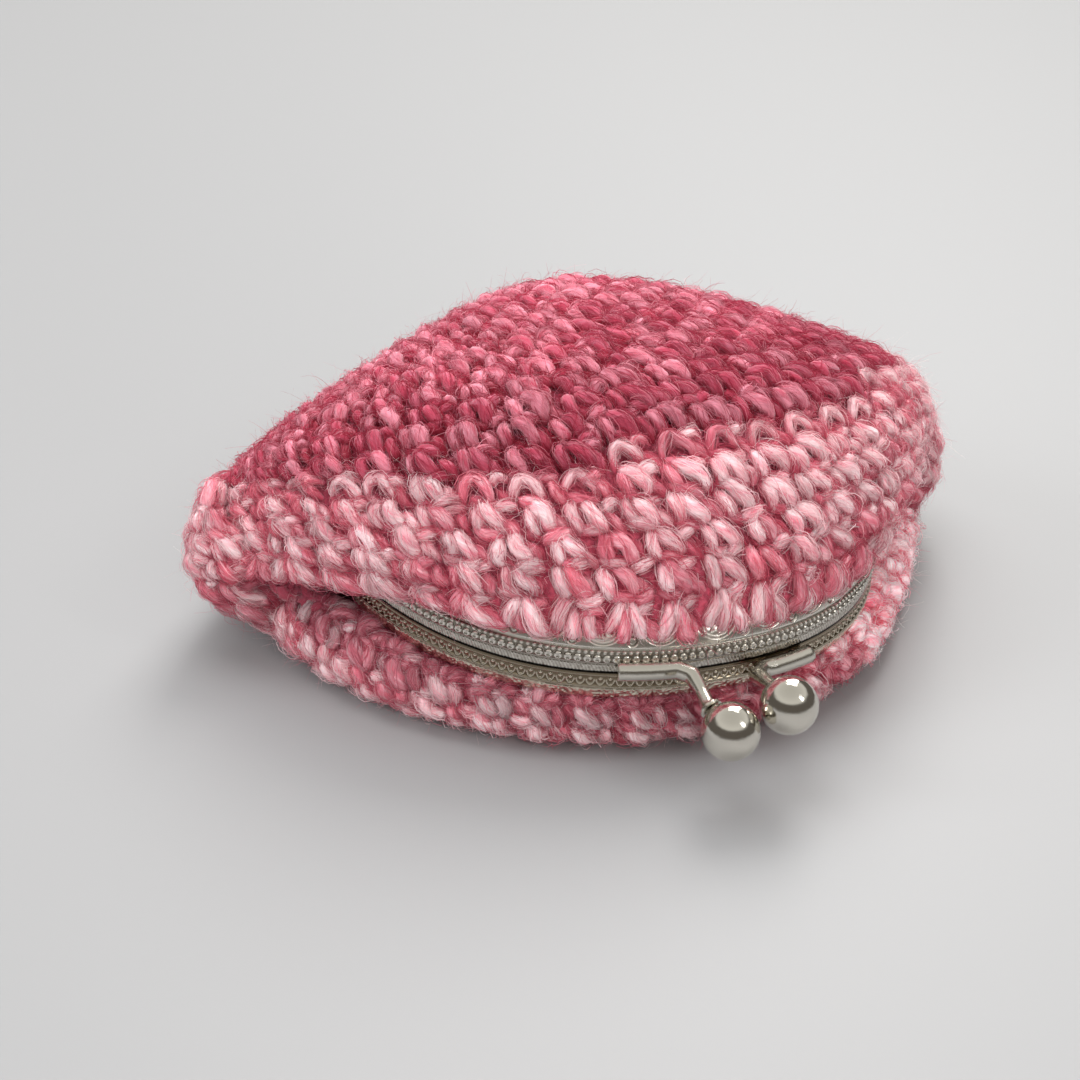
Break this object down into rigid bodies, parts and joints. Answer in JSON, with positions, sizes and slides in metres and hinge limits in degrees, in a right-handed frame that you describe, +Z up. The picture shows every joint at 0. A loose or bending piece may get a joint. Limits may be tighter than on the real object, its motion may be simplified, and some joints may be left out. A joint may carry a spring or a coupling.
{
  "type": "crocheted kiss-lock purse",
  "caption": "Small crocheted clasp purse lying on its side: a rounded two-tone wool bag on an arched, pierced nickel frame with hinges and crossed ball clasp.",
  "frame": {"origin": "on the table, in the flat place that the purse rests on, under the middle of the hinge line", "axes": "+X along the hinge line, to the right as seen facing the mouth; -Y out of the mouth, the way the clasp points; +Z up from the table"},
  "size_m": [0.1301, 0.1172, 0.0454],
  "materials": {
    "nickel": "satin nickel plate",
    "polished_nickel": "polished nickel plate",
    "rose_wool": "crocheted wool",
    "light_wool": "crocheted marled wool"
  },
  "bodies": {
    "rear": {"pouch_body": "rose_wool", "rear_frame": "nickel", "rear_clasp_arm": "polished_nickel", "rear_clasp_ball": "polished_nickel", "hinge_rivet_left": "nickel", "hinge_rivet_right": "nickel"},
    "front": {"front_frame": "nickel", "front_clasp_arm": "polished_nickel", "front_clasp_ball": "polished_nickel", "front_panel": "light_wool"}
  },
  "joints": [
    {"name": "frame_hinge", "type": "hinge", "parent": "rear", "child": "front", "pos_m": [0, 0, 0.016], "axis": [-1, 0, 0], "range_deg": [0, 80], "deforming": ["front_panel"]}
  ]
}
